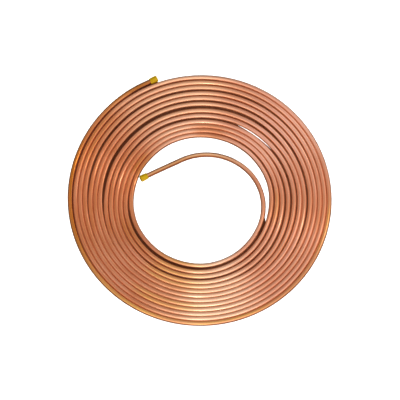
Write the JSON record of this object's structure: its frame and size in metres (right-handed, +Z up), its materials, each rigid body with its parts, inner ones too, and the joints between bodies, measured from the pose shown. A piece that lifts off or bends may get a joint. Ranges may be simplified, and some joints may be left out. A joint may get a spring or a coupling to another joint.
{
  "type": "copper tube coil",
  "caption": "Long soft copper tube wound flat in a single layer as a wide spiral coil, with its inner end bent across the bore and a push-on plastic cap on each end.",
  "frame": {"origin": "on the coil's axis, at floor level, under the middle of the bore", "axes": "+Z up along the coil's axis, -Y towards the viewer, and the outer end is at the back left"},
  "size_m": [1.0815, 1.0743, 0.0276],
  "materials": {
    "copper": "semi-matte drawn copper, lightly tarnished",
    "cap_plastic": "satin ochre-yellow plastic"
  },
  "bodies": {
    "root": {"copper_tube": "copper", "outer_end_cap": "cap_plastic", "inner_end_cap": "cap_plastic"}
  },
  "joints": []
}
